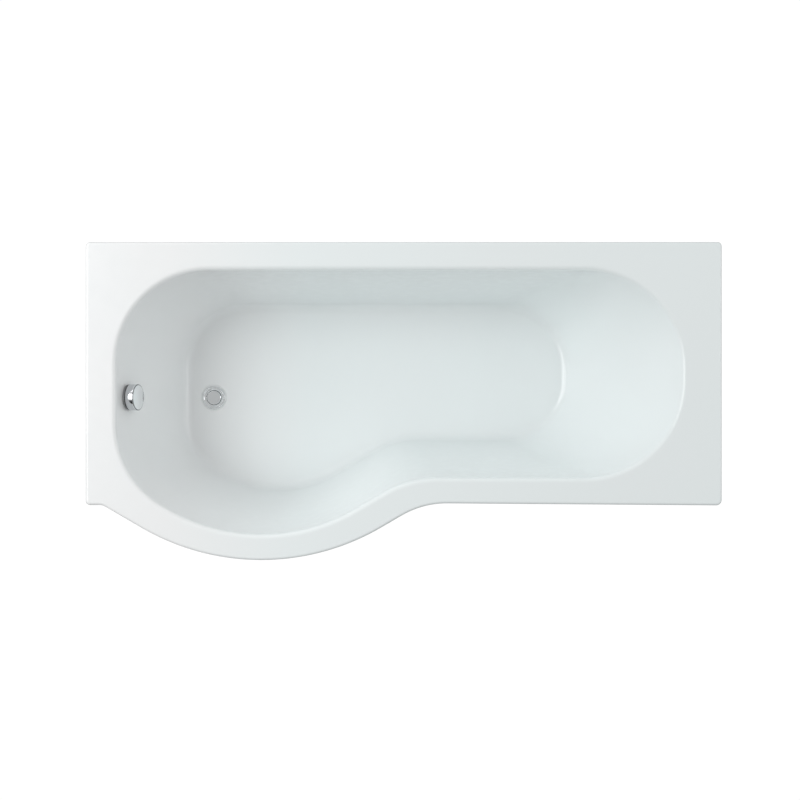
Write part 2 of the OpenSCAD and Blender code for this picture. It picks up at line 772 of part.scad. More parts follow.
module overflow_hose() {
    length = route_len(hose_top, hose_end, hose_bend);
    cuff = 2 * hose_r;
    ribs = floor((length - 2 * cuff) / rib_pitch);
    pitch = (length - 2 * cuff) / ribs;
    outside = concat(
        [[0, hose_r]],
        [for (k = [0:ribs - 1]) each [[cuff + pitch * k, hose_r], [cuff + pitch * (k + 0.5), hose_r - 2]]],
        [[length - cuff, hose_r], [length, hose_r]]
    );
    bore_steps = 26;
    inside = [for (k = [bore_steps:-1:0]) [length * k / bore_steps, hose_r - hose_wall]];
    color([0.90, 0.90, 0.88]) tube_solid([for (p = concat(outside, inside))
        route_ring(route_at(hose_top, hose_end, hose_bend, p[0]), drain_y, p[1], 8)]);
}
module pull_cable() {
    length = route_len(cable_top, cable_end, cable_bend);
    steps = 34;
    rings = [for (k = [0:steps])
        route_ring(route_at(cable_top, cable_end, cable_bend, length * k / steps),
                   drain_y + cable_y, cable_r, 8)];
    color([0.14, 0.14, 0.15]) rod_solid(
        rings,
        [cable_top.x, drain_y + cable_y, cable_top.y],
        [cable_end.x, drain_y + cable_y, cable_end.y]
    );
}
module hose_upper_nut() {
    color([0.16, 0.16, 0.17]) translate([hose_top.x, drain_y, hose_top.y - 14])
        ring(hose_nut_r, hose_r + 0.3, 0, 26);
}
module hose_lower_nut() {
    color([0.16, 0.16, 0.17]) translate([hose_end.x + 12, drain_y, hose_end.y]) rotate([0, -90, 0])
        ring(hose_nut_r, hose_r + 0.3, 0, 26);
}

// ---- Waste ---------------------------------------------------------------------------
module waste_flange() {
    color([0.80, 0.82, 0.84]) at_waste() difference() {
        union() {
            translate([0, 0, flange_z]) cylinder(h = flange_t, r = flange_r, $fn = 96);
            translate([0, 0, sleeve_end_z]) cylinder(h = flange_z - sleeve_end_z + 1, r = sleeve_r);
        }
        translate([0, 0, sleeve_end_z - 1]) cylinder(h = 60, r = sleeve_bore_r);
        translate([0, 0, shoulder_z]) cylinder(h = 20, r = dish_foot_r);
        translate([0, 0, flange_top - dish_t]) cylinder(h = dish_t, r1 = dish_foot_r, r2 = dish_r, $fn = 96);
    }
}
module waste_flange_seal() {
    color([0.85, 0.85, 0.85]) at_waste()
        ring(flange_r - 1.5, waste_hole_r + 0.5, recess_z + run, recess_z + run + flange_seal_t);
}
module waste_lower_seal() {
    color([0.13, 0.13, 0.14]) at_waste() ring(overflow_flange_r, waste_hole_r + 0.5, under_z - gasket_t, under_z);
}
module waste_body() {
    bore = sleeve_r + 0.2;
    color([0.93, 0.93, 0.92]) at_waste() difference() {
        union() {
            difference() {
                union() {
                    translate([0, 0, body_flange_z - body_flange_t])
                        cylinder(h = body_flange_t, r = overflow_flange_r);
                    translate([0, 0, body_floor_z]) cylinder(h = body_flange_z - body_floor_z, r = body_r);
                    translate([-body_r - 17, 0, inlet_z]) rotate([0, 90, 0]) cylinder(h = 30, r = spout_r);
                    translate([-30, 12, inlet_z - 16]) cube([36, box_y[1] - 12, 40]);
                    translate([-body_r - 13, cable_y, cable_end_z]) rotate([0, 90, 0]) cylinder(h = 16, r = gland_r);
                }
                translate([0, 0, body_floor_z + body_floor_t]) cylinder(h = 90, r = bore);
                translate([-27, body_r + 1, inlet_z - 13]) cube([30, 20, 34]);
            }
            intersection() {
                translate([0, 0, guide_z]) cylinder(h = guide_t, r = bore + 1);
                union() {
                    translate([0, 0, guide_z]) cylinder(h = guide_t, r = 8);
                    for (a = [60, 180, 300]) rotate([0, 0, a])
                        translate([0, -2, guide_z]) cube([bore + 1, 4, guide_t]);
                }
            }
            translate([0, 0, body_floor_z - tail_l]) cylinder(h = tail_l + 1, r = tail_r);
        }
        translate([0, 0, body_floor_z - tail_l - 1]) cylinder(h = tail_l + body_floor_t + 2, r = sleeve_bore_r);
        translate([0, 0, guide_z - 1]) cylinder(h = guide_t + 2, r = spindle_r + 2 * run);
        translate([-body_r - 18, 0, inlet_z]) rotate([0, 90, 0]) cylinder(h = 30, r = spout_bore_r);
        translate([lever_x, -24, inlet_z]) rotate([-90, 0, 0]) cylinder(h = 60, r = lever_r + run);
        translate([-body_r - 14, cable_y, cable_end_z]) rotate([0, 90, 0]) cylinder(h = 20, r = 1);
    }
}
module lever_cover() {
    color([0.93, 0.93, 0.92]) at_waste() {
        translate([-30, box_y[1] + seat, inlet_z - 16]) cube([36, 2, 40]);
        translate([-26.8, box_y[1] - 2, inlet_z - 12.8]) cube([29.6, 2 + 2 * seat, 33.6]);
    }
}

// ---- Plug and lever ------------------------------------------------------------------
seal_z = shoulder_z + seat;
cap_z = seal_z + plug_seal_t + seat;
hub_plug_r = 15.9;

module plug_seal() {
    color([0.14, 0.14, 0.15]) at_waste() ring(dish_foot_r - 0.3, hub_plug_r + run, seal_z, seal_z + plug_seal_t);
}
module plug_cap() {
    color([0.80, 0.82, 0.84]) at_waste() difference() {
        union() {
            translate([0, 0, cap_z]) cylinder(h = cap_t - 1, r = cap_r, $fn = 96);
            translate([0, 0, cap_z + cap_t - 1]) cylinder(h = 1, r1 = cap_r, r2 = cap_r - 1, $fn = 96);
            translate([0, 0, seal_z - 4]) cylinder(h = cap_z - seal_z + 5, r = hub_plug_r);
        }
        translate([0, 0, seal_z - 5]) cylinder(h = 6, r = spindle_r + run);
    }
}
module plug_stem() {
    shank_z = guide_z - 8;
    color([0.78, 0.70, 0.45]) at_waste() {
        translate([0, 0, shank_z]) cylinder(h = seal_z + 1 - seat - shank_z, r = spindle_r);
        translate([0, 0, stem_tip_z]) cylinder(h = shank_z - stem_tip_z + 1, r = stem_tip_r);
    }
}
module lifting_lever() {
    color([0.20, 0.20, 0.21]) at_waste() translate([lever_x, 0, inlet_z]) {
        translate([0, -22.5, 0]) rotate([-90, 0, 0]) cylinder(h = 61, r = lever_r);
        rotate([0, lever_swing, 0]) {
            translate([0, -3, -finger_t / 2]) cube([19, 6, finger_t]);
            translate([0, -3, 0]) rotate([-90, 0, 0]) cylinder(h = 6, r = 4.5);
            translate([-2, cable_y - 2, 0]) cube([4, 4, 13]);
            translate([0, cable_y - 2, 0]) rotate([-90, 0, 0]) cylinder(h = 4, r = 5);
        }
    }
}

bath_shell();
glass_fibre_backing();
baseboard();
wall_batten();
front_batten();
foot_batten();
head_batten();
bulge_batten();
foot_rail();
head_rail();
centre_bracket();
rail_screws();
leg_nuts();
foot_wall_stem();
foot_front_stem();
head_wall_stem();
head_front_stem();
centre_stem();
foot_wall_foot();
foot_front_foot();
head_wall_foot();
head_front_foot();
centre_foot();
wall_brackets();
bracket_screws();
overflow_seal();
overflow_body();
overflow_rear_cover();
overflow_plate();
overflow_knob();
knob_spindle();
cable_cam();
hose_upper_nut();
overflow_hose();
hose_lower_nut();
pull_cable();
waste_flange();
waste_flange_seal();
waste_lower_seal();
waste_body();
lever_cover();
plug_cap();
plug_seal();
plug_stem();
lifting_lever();
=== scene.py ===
import bpy
import bmesh
import math
from mathutils import Matrix, Vector


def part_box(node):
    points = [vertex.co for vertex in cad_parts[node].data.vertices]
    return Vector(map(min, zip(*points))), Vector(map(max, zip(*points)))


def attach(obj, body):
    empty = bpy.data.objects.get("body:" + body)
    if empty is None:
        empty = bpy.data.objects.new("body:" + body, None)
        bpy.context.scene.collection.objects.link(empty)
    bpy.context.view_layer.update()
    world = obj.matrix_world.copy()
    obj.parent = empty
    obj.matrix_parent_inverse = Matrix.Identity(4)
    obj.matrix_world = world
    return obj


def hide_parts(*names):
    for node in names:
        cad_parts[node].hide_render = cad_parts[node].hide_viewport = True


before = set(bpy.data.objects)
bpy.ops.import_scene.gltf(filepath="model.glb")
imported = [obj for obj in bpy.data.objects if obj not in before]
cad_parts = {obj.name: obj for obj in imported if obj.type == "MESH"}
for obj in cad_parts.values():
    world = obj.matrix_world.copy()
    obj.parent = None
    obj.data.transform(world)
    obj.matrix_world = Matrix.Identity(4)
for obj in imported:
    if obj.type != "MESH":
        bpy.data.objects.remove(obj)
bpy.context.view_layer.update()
print("frame loaded:", len(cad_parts), "nodes")


def clearSelection():
    if bpy.context.object and bpy.context.object.mode != "OBJECT":
        bpy.ops.object.mode_set(mode="OBJECT")
    bpy.ops.object.select_all(action="DESELECT")


def pick(piece):
    clearSelection()
    piece.select_set(True)
    bpy.context.view_layer.objects.active = piece


def applied(piece, kind, **settings):
    pick(piece)
    modifier = piece.modifiers.new(kind.title(), kind)
    for name, value in settings.items():
        setattr(modifier, name, value)
    bpy.ops.object.modifier_apply(modifier=modifier.name)


def cutWith(piece, cutter):
    applied(piece, "BOOLEAN", object=cutter, operation="DIFFERENCE", solver="EXACT")
    bpy.data.objects.remove(cutter)


# doubles merged, and faces turned outwards
def tidied(piece, merge=1e-6):
    pick(piece)
    bpy.ops.object.mode_set(mode="EDIT")
    bpy.ops.mesh.select_all(action="SELECT")
    bpy.ops.mesh.remove_doubles(threshold=merge)
    bpy.ops.mesh.normals_make_consistent(inside=False)
    bpy.ops.object.mode_set(mode="OBJECT")
    return piece


def joined(pieces):
    clearSelection()
    for piece in pieces:
        piece.select_set(True)
    bpy.context.view_layer.objects.active = pieces[0]
    bpy.ops.object.join()
    return pieces[0]


# the piece gets its name, its finish, the body that it rides on and the CAD nodes that it stands for
def settled(piece, name, body, material, stands=(), angle=30):
    pick(piece)
    bpy.ops.object.transform_apply(location=True, rotation=True, scale=True)
    bpy.ops.object.shade_smooth_by_angle(angle=math.radians(angle))
    piece.name = name
    piece.data.name = name
    piece.data.materials.clear()
    piece.data.materials.append(material)
    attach(piece, body)
    if stands:
        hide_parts(*stands)


# a copy of a CAD node, with its sharp edges eased
def eased(node, name, body, slot, material, width, segments=2):
    limits = dict(merge=2e-6, flat=0.6, sharp=35)
    piece = bpy.data.objects.new(name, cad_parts[node].data.copy())
    bpy.context.scene.collection.objects.link(piece)
    pick(piece)
    bpy.ops.object.mode_set(mode="EDIT")
    bpy.ops.mesh.select_all(action="SELECT")
    bpy.ops.mesh.remove_doubles(threshold=limits["merge"])
    bpy.ops.mesh.dissolve_limited(angle_limit=math.radians(limits["flat"]))
    bpy.ops.object.mode_set(mode="OBJECT")
    applied(piece, "BEVEL", width=width, segments=segments, limit_method="ANGLE",
            angle_limit=math.radians(limits["sharp"]), use_clamp_overlap=True)
    settled(piece, name, body, material, [node])


# a circle's arc in a corner, which starts and ends at reach from it
def cornerArc(before, at, after, reach, steps):
    legA = (before - at).normalized()
    legB = (after - at).normalized()
    half = math.cos((-legA).angle(legB) / 2)
    points = []
    for step in range(steps + 1):
        t = step / steps
        weights = ((1 - t) ** 2, 2 * half * t * (1 - t), t * t)
        points.append((weights[0] * (at + legA * reach) + weights[1] * at + weights[2] * (at + legB * reach))
                      / sum(weights))
    return points


# a closed outline with its corners rounded: each point is (radius, height, rounding)
def roundedProfile(points, steps):
    out = []
    for index, point in enumerate(points):
        before, here, after = (Vector(points[i % len(points)][:2]) for i in (index - 1, index, index + 1))
        if len(point) < 3:
            out.append(here)
            continue
        legA, legB = before - here, after - here
        reach = point[2] * math.tan((math.pi - legA.angle(legB)) / 2)
        out += cornerArc(before, here, after, min(reach, legA.length * 0.49, legB.length * 0.49), steps)
    return out


# a circle's points are laid on the outline, which is then spun about the axis
def turned(points, place=(0, 0, 0), lean=0, steps=96, rounding=4):
    profile = roundedProfile(points, rounding)
    clearSelection()
    bpy.ops.mesh.primitive_circle_add(vertices=len(profile), radius=0.01)
    piece = bpy.context.object
    for vertex, point in zip(piece.data.vertices, profile):
        vertex.co = (max(point.x, 0), 0, point.y)
    bpy.ops.object.mode_set(mode="EDIT")
    bpy.ops.mesh.select_all(action="SELECT")
    bpy.ops.mesh.spin(steps=steps, angle=2 * math.pi, center=(0, 0, 0), axis=(0, 0, 1))
    tidied(piece, 1e-7)
    piece.data.transform(Matrix.Translation(place) @ Matrix.Rotation(lean, 4, "Y"))
    return piece


# a shader value that Python's operators work on
class Wire:
    def __init__(self, graph, socket):
        self.graph = graph
        self.socket = socket

    def math(self, operation, first, second):
        return self.graph.node("ShaderNodeMath", {"operation": operation}, {0: first, 1: second})

    def __add__(self, other):
        return self.math("ADD", self, other)

    def __radd__(self, other):
        return self.math("ADD", other, self)

    def __sub__(self, other):
        return self.math("SUBTRACT", self, other)

    def __rsub__(self, other):
        return self.math("SUBTRACT", other, self)

    def __mul__(self, other):
        return self.math("MULTIPLY", self, other)

    def __rmul__(self, other):
        return self.math("MULTIPLY", other, self)


class Graph:
    def __init__(self, tree):
        self.tree = tree

    def node(self, kind, settings=None, inputs=None, output=0):
        made = self.tree.nodes.new(kind)
        for key, value in (settings or {}).items():
            if key != "stops":
                setattr(made, key, value)
                continue
            elements = made.color_ramp.elements
            while len(elements) < len(value):
                elements.new(0.5)
            for element, (spot, tint) in zip(elements, value):
                element.position = spot
                element.color = (*tint, 1)
        for key, value in (inputs or {}).items():
            if isinstance(value, Wire):
                self.tree.links.new(value.socket, made.inputs[key])
            else:
                made.inputs[key].default_value = value
        return Wire(self, made.outputs[output])

    def spread(self, value, low, high, fromLow=0.35, fromHigh=0.65):
        return self.node("ShaderNodeMapRange", {}, {
            "Value": value, "From Min": fromLow, "From Max": fromHigh, "To Min": low, "To Max": high})


# one finish: a Principled shader, and the nodes that vary it
class Finish(Graph):
    def __init__(self, name, **constants):
        self.material = bpy.data.materials.new(name)
        self.material.use_nodes = True
        super().__init__(self.material.node_tree)
        self.shader = self.tree.nodes["Principled BSDF"]
        for socket, value in constants.items():
            self.set(socket.replace("_", " "), value)
        self.place = self.node("ShaderNodeTexCoord", output="Object")

    def set(self, socket, value):
        if isinstance(value, Wire):
            self.tree.links.new(value.socket, self.shader.inputs[socket])
        elif socket == "Base Color":
            self.shader.inputs[socket].default_value = (*value, 1)
        else:
            self.shader.inputs[socket].default_value = value

    # moved to another origin, turned, and then squeezed along each axis
    def mapped(self, squeeze=(1, 1, 1), turn=(0, 0, 0), origin=(0, 0, 0)):
        return self.node("ShaderNodeMapping", {"vector_type": "TEXTURE"}, {
            "Vector": self.place, "Location": origin, "Rotation": [math.radians(angle) for angle in turn],
            "Scale": [1 / value for value in squeeze]})

    def noise(self, scale, detail=2, roughness=0.5, place=None):
        return self.node("ShaderNodeTexNoise", {}, {
            "Vector": place or self.place, "Scale": scale, "Detail": detail, "Roughness": roughness})

    # a random tone for each cell
    def cells(self, scale, place=None):
        colour = self.node("ShaderNodeTexVoronoi", {}, {"Vector": place or self.place, "Scale": scale}, "Color")
        return self.node("ShaderNodeSeparateColor", {}, {"Color": colour})

    def ramp(self, value, stops):
        return self.node("ShaderNodeValToRGB", {"stops": stops}, {"Fac": value})

    def blend(self, factor, first, second):
        tints = [value if isinstance(value, Wire) else (*value, 1) for value in (first, second)]
        return self.node("ShaderNodeMix", {"data_type": "RGBA"}, {
            0: factor, 6: tints[0], 7: tints[1]}, 2)

    def bump(self, height, strength, distance):
        self.set("Normal", self.node("ShaderNodeBump", {}, {
            "Height": height, "Strength": strength, "Distance": distance}))


# white sheet, very slightly cooler away from the shower end, with a moulded sheet's faint waves
def acrylicFinish():
    look = dict(neutral=(0.947, 0.951, 0.953), cool=(0.908, 0.958, 0.960), coolFrom=-0.62, coolTo=-0.28,
                shade=(0.915, 0.943, 0.948), shading=0.3, clouds=3, gloss=(0.16, 0.24), mottle=40,
                waves=22, peel=0.02)
    finish = Finish("glossyAcrylic", Coat_Weight=0.25, Coat_Roughness=0.05)
    along = finish.node("ShaderNodeSeparateXYZ", {}, {0: finish.place})
    cooling = finish.spread(along, 0, 1, look["coolFrom"], look["coolTo"])
    shading = finish.spread(finish.noise(look["clouds"], 3), 0, look["shading"])
    finish.set("Base Color", finish.blend(
        shading, finish.blend(cooling, look["neutral"], look["cool"]), look["shade"]))
    finish.set("Roughness", finish.spread(finish.noise(look["mottle"], 4), *look["gloss"]))
    finish.bump(finish.noise(look["waves"], 1), look["peel"], 0.002)
    return finish.material


def chromeFinish():
    look = dict(bright=(0.83, 0.84, 0.85), smudged=(0.80, 0.82, 0.83), gloss=(0.05, 0.10), smudges=60, grain=900)
    finish = Finish("polishedChrome", Metallic=1.0)
    smudge = finish.noise(look["smudges"], 4, 0.6)
    finish.set("Base Color", finish.blend(finish.spread(smudge, 0, 1), look["bright"], look["smudged"]))
    finish.set("Roughness", finish.spread(smudge, *look["gloss"]))
    finish.bump(finish.noise(look["grain"]), 0.01, 0.0002)
    return finish.material


# chopped strands lie every way: (tilt, heading) of each set of streaks, in degrees
def glassFibreFinish():
    look = dict(resin=(0.53, 0.53, 0.43), pooled=(0.62, 0.61, 0.50), strand=(0.86, 0.87, 0.81),
                strands=24, slimness=8, strength=0.85, lumps=14,
                ways=((0, 0), (36, 0), (72, 0), (108, 0), (144, 0), (20, 90), (60, 90), (120, 90), (160, 90),
                      (0, 50), (0, 130)))
    finish = Finish("chopStrandGlassFibre", Coat_Weight=0.15)
    streaks = 0
    for tilt, heading in look["ways"]:
        place = finish.mapped((1, look["slimness"], look["slimness"]), (0, tilt, heading))
        layer = finish.spread(finish.noise(look["strands"], 1, 0.4, place), 0, 1, 0.60, 0.72)
        streaks = finish.node("ShaderNodeMath", {"operation": "MAXIMUM"}, {0: streaks, 1: layer})
    lumps = finish.noise(look["lumps"], 3)
    pooled = finish.blend(finish.spread(lumps, 0, 1), look["resin"], look["pooled"])
    finish.set("Base Color", finish.blend(streaks * look["strength"], pooled, look["strand"]))
    finish.set("Roughness", 0.62 - finish.spread(lumps, 0.0, 0.28) + streaks * 0.1)
    finish.bump(streaks * 0.55 + lumps, 0.55, 0.0016)
    return finish.material


def chipboardFinish():
    look = dict(chips=330, flatness=2.6, dust=700, tones=[
        (0.05, (0.30, 0.19, 0.10)), (0.35, (0.53, 0.38, 0.22)),
        (0.65, (0.66, 0.51, 0.32)), (0.95, (0.78, 0.65, 0.45))])
    finish = Finish("rawChipboard")
    chip = finish.cells(look["chips"], finish.mapped((1, 1, look["flatness"])))
    dust = finish.noise(look["dust"], 3)
    finish.set("Base Color", finish.ramp(chip * 0.8 + dust * 0.25, look["tones"]))
    finish.set("Roughness", finish.spread(dust, 0.72, 0.9))
    finish.bump(chip + dust, 0.5, 0.0005)
    return finish.material


# sawn softwood: growth rings drawn out along the batten
def timberFinish(name, squeeze):
    look = dict(rings=42, grain=14, tones=[
        (0.15, (0.46, 0.28, 0.13)), (0.45, (0.68, 0.48, 0.26)), (0.8, (0.80, 0.63, 0.39))])
    finish = Finish(name)
    waver = finish.noise(2, 3, 0.55, finish.mapped([value / 2 for value in squeeze]))
    grain = finish.noise(look["grain"], 6, 0.62, finish.mapped(squeeze))
    rings = finish.node("ShaderNodeMath", {"operation": "SINE"}, {0: waver * look["rings"] + grain * 5})
    finish.set("Base Color", finish.ramp(rings * 0.34 + grain * 0.75, look["tones"]))
    finish.set("Roughness", finish.spread(grain, 0.62, 0.82))
    finish.bump(grain + rings * 0.2, 0.4, 0.0006)
    return finish.material


# galvanised sheet with its spangle
def galvanisedFinish():
    look = dict(spangles=120, clouds=18, gloss=(0.34, 0.52), tones=[
        (0.2, (0.42, 0.44, 0.46)), (0.55, (0.56, 0.58, 0.60)), (0.85, (0.68, 0.70, 0.71))])
    finish = Finish("galvanisedSteel", Metallic=1.0)
    spangle = finish.cells(look["spangles"])
    dull = finish.noise(look["clouds"], 4, 0.6)
    finish.set("Base Color", finish.ramp(spangle * 0.5 + dull * 0.5, look["tones"]))
    finish.set("Roughness", finish.spread(spangle, *look["gloss"], 0, 1))
    finish.bump(spangle + dull * 0.5, 0.12, 0.0004)
    return finish.material


def platedFinish(name, light, dark, roughness=0.28):
    finish = Finish(name, Metallic=1.0)
    patch = finish.noise(90, 4, 0.6)
    finish.set("Base Color", finish.blend(finish.spread(patch, 0, 1), light, dark))
    finish.set("Roughness", finish.spread(patch, roughness - 0.06, roughness + 0.1))
    finish.bump(finish.noise(1400), 0.15, 0.0001)
    return finish.material


# moulded plastic or rubber: a fine sparked grain, and slow changes of tone
def mouldedFinish(name, tone, deeper, roughness, grain=900, depth=0.2):
    finish = Finish(name)
    slow = finish.noise(16, 3)
    finish.set("Base Color", finish.blend(finish.spread(slow, 0, 1), tone, deeper))
    finish.set("Roughness", finish.spread(slow, roughness - 0.05, roughness + 0.08))
    finish.bump(finish.noise(grain), depth, 0.0001)
    return finish.material


finishes = dict(
    acrylic=acrylicFinish(),
    chrome=chromeFinish(),
    glassFibre=glassFibreFinish(),
    chipboard=chipboardFinish(),
    timberAlongX=timberFinish("sawnTimberAlongX", (1, 12, 12)),
    timberAlongY=timberFinish("sawnTimberAlongY", (12, 1, 12)),
    galvanised=galvanisedFinish(),
    zinc=platedFinish("brightZinc", (0.70, 0.72, 0.74), (0.58, 0.60, 0.63)),
    yellowZinc=platedFinish("yellowZinc", (0.80, 0.66, 0.34), (0.62, 0.55, 0.34), 0.32),
    brass=platedFinish("turnedBrass", (0.83, 0.64, 0.30), (0.70, 0.52, 0.24), 0.22),
    footPlastic=mouldedFinish("footPlastic", (0.030, 0.030, 0.032), (0.045, 0.045, 0.048), 0.45),
    blackPlastic=mouldedFinish("blackPlastic", (0.035, 0.035, 0.038), (0.05, 0.05, 0.054), 0.38),
    whitePlastic=mouldedFinish("whitePlastic", (0.70, 0.70, 0.67), (0.65, 0.65, 0.62), 0.34),
    hosePlastic=mouldedFinish("hosePlastic", (0.72, 0.72, 0.68), (0.66, 0.66, 0.62), 0.42),
    sheath=mouldedFinish("cableSheath", (0.028, 0.028, 0.03), (0.04, 0.04, 0.042), 0.30),
    blackRubber=mouldedFinish("blackRubber", (0.022, 0.022, 0.022), (0.032, 0.032, 0.033), 0.72, 500, 0.4),
    whiteRubber=mouldedFinish("whiteRubber", (0.74, 0.74, 0.72), (0.68, 0.68, 0.66), 0.7, 500, 0.4),
)
print("finishes made:", len(finishes))

# the shell's sizes, in metres and degrees; corners and reaches go round from the head end's wall corner
bath = dict(
    length=1.700, width=0.850, headWidth=0.704, neckWidth=0.698, footWidth=0.703,
    rimHeight=0.560, lip=0.034, edgeRadius=0.007, rollRadius=0.012, sheet=0.005,
    bulgeAt=0.469, bulgeRadius=0.636, bulgeSlope=30.3, neckRadius=0.243,
    corners=dict(headWall=0.011, footWall=0.013, footFront=0.012, notch=0.009, headFront=0.015),
    wallRim=0.074, footRim=0.080, headRim=0.101, frontRim=0.067, bulgeRim=0.067,
    depth=0.415, floorRise=0.010, floorRadius=0.032, bow=0.008,
    wallRun=0.064, footRun=0.112, headRun=0.262, frontRun=0.093, bulgeRun=0.094,
    wasteAt=0.275, drainFromWall=0.415, overflowDrop=0.075, overflowHole=0.027, wasteHole=0.026,
    recessDepth=0.002, seatEdge=0.047, flatMargin=0.0015,
    rimReaches=(0.265, 0.250, 0.148, 0.262), rimNeck=0.080, rimBulgeLess=0.136,
    floorReaches=(0.190, 0.185, 0.105, 0.175), floorNeck=0.060, floorBulgeLess=0.291,
)
footX = -bath["length"] / 2
headX = bath["length"] / 2
wallY = bath["width"] / 2
bulgeX = footX + bath["bulgeAt"]
frontY = wallY - bath["neckWidth"]
wasteX = footX + bath["wasteAt"]
drainY = wallY - bath["drainFromWall"]
slope = math.radians(bath["bulgeSlope"])
rim = bath["rimHeight"]

# how finely each corner and each straight run is cut
arcSteps = (24, 24, 20, 8, 36, 16, 24)
runSteps = (26, 8, 2, 2, 4, 14, 8)


# the bulge's two straight runs meet here, below its arc
def runApex(lowY, radius):
    return lowY - radius * (1 / math.cos(slope) - 1)


def runDx(y, apex):
    return (y - apex) / math.tan(slope)


# corners are (x, y, how far from it the rounding starts)
def loopOf(corners):
    points = []
    for index, corner in enumerate(corners):
        here, before, after = (Vector(corners[i % len(corners)][:2]) for i in (index, index - 1, index + 1))
        arc = cornerArc(before, here, after, corner[2], arcSteps[index])
        nextReach = corners[(index + 1) % len(corners)][2]
        runEnd = after + (here - after).normalized() * nextReach
        points += arc
        for step in range(1, runSteps[index] + 1):
            points.append(arc[-1].lerp(runEnd, step / (runSteps[index] + 1)))
    return points


def outlineLoop():
    apex = runApex(-wallY, bath["bulgeRadius"])
    footFrontY = wallY - bath["footWidth"]
    reach = bath["corners"]
    return loopOf([
        (headX, wallY, reach["headWall"]), (footX, wallY, reach["footWall"]),
        (footX, footFrontY, reach["footFront"]),
        (bulgeX - runDx(footFrontY, apex), footFrontY, reach["notch"]),
        (bulgeX, apex, bath["bulgeRadius"] * math.tan(slope)),
        (bulgeX + runDx(frontY, apex), frontY, bath["neckRadius"] * math.tan(slope / 2)),
        (headX, wallY - bath["headWidth"], reach["headFront"])])


def wellLoop(inset, bulgeLess, reaches, neck):
    wall, foot, head, front, bulge = inset
    radius = bath["bulgeRadius"] - bulgeLess
    apex = runApex(-wallY + bulge, radius)
    corner = Vector((footX + foot, apex + (bulgeX - footX - foot) * math.tan(slope)))
    middle = Vector((bulgeX, apex))
    spare = (middle - corner).length - reaches[2] - radius * math.tan(slope)
    halfway = corner + (middle - corner).normalized() * (reaches[2] + spare / 2)
    return loopOf([
        (headX - head, wallY - wall, reaches[0]), (footX + foot, wallY - wall, reaches[1]),
        (*corner, reaches[2]), (*halfway, spare * 0.4), (*middle, radius * math.tan(slope)),
        (bulgeX + runDx(frontY + front, apex), frontY + front, neck),
        (headX - head, frontY + front, reaches[3])])


def inwardNormals(loop):
    normals = []
    for index, point in enumerate(loop):
        onward = (loop[(index + 1) % len(loop)] - point).normalized()
        past = (point - loop[index - 1]).normalized()
        along = (onward + past).normalized()
        normals.append(Vector((-along.y, along.x)))
    return normals


outline = outlineLoop()
sides = ("wall", "foot", "head", "front", "bulge")
rimInsets = [bath[side + "Rim"] for side in sides]
runs = [bath[side + "Run"] for side in sides]
rimLoop = wellLoop(rimInsets, bath["rimBulgeLess"], bath["rimReaches"], bath["rimNeck"])
floorLoop = wellLoop([inset + run for inset, run in zip(rimInsets, runs)], bath["floorBulgeLess"],
                     bath["floorReaches"], bath["floorNeck"])
floorRate = bath["floorRise"] / (headX - bath["headRim"] - bath["headRun"] - wasteX)
columns = len(outline)


def floorHeight(x):
    return rim - bath["depth"] + floorRate * (x - wasteX)


# the well's section at one column, square to the wall: (distance in, height)
def wellSection(run, low):
    cuts = dict(roll=6, wall=18, fillet=10, afterRoll=1.9, beforeFillet=1.35)
    drop = rim - low

    def wall(s):
        return Vector((run * s - bath["bow"] * 4 * s * (1 - s), rim - drop * s))

    def meeting(corner, legA, legB, radius, steps):
        reach = radius * math.tan((math.pi - legA.angle(legB)) / 2)
        return reach, cornerArc(corner + legA, corner, corner + legB, reach, steps)

    rollLeg = (wall(0.02) - wall(0)).normalized()
    rollReach, roll = meeting(wall(0), Vector((-1, 0)), rollLeg, bath["rollRadius"], cuts["roll"])
    footLeg = (wall(0.9) - wall(1)).normalized()
    footReach, fillet = meeting(wall(1), footLeg, Vector((1, 0)), bath["floorRadius"], cuts["fillet"])
    first = rollReach / drop * cuts["afterRoll"]
    last = 1 - footReach / drop * cuts["beforeFillet"]
    middle = [wall(first + (last - first) * k / cuts["wall"]) for k in range(cuts["wall"] + 1)]
    return roll + middle + fillet


# the same, set in place: its last point lies on the floor
def wellColumn(index):
    start, end = rimLoop[index], floorLoop[index]
    run = (end - start).dot(rimNormals[index])
    column = []
    for inwards, height in wellSection(run, floorHeight(end.x)):
        at = start.lerp(end, inwards / run)
        column.append((at.x, at.y, height))
    return column[:-1] + [(at.x, at.y, floorHeight(at.x))]


rimNormals = inwardNormals(rimLoop)
outlineNormals = inwardNormals(outline)
wellColumns = [wellColumn(index) for index in range(columns)]
wellRings = [[column[k] for column in wellColumns] for k in range(len(wellColumns[0]))]


def outlineRing(inset, height):
    return [(*(point + normal * inset), height) for point, normal in zip(outline, outlineNormals)]


# lip and edge of the rim, up to its flat top
def edgeRings():
    edge = dict(lipStart=0.003, roundStart=0.004, steps=6)
    radius = bath["edgeRadius"]
    low = rim - bath["lip"]
    rings = [outlineRing(0, height) for height in (low, low + edge["lipStart"], rim - radius - edge["roundStart"])]
    for step in range(edge["steps"] + 1):
        turn = math.pi / 2 * step / edge["steps"]
        rings.append(outlineRing(radius * (1 - math.cos(turn)), rim - radius * (1 - math.sin(turn))))
    return rings + [outlineRing(radius + bath["flatMargin"], rim)]


# the well's first ring, moved outwards over the rim
def rollRing(out):
    return [(*(Vector(point[:2]) - normal * out), rim) for point, normal in zip(wellRings[0], rimNormals)]


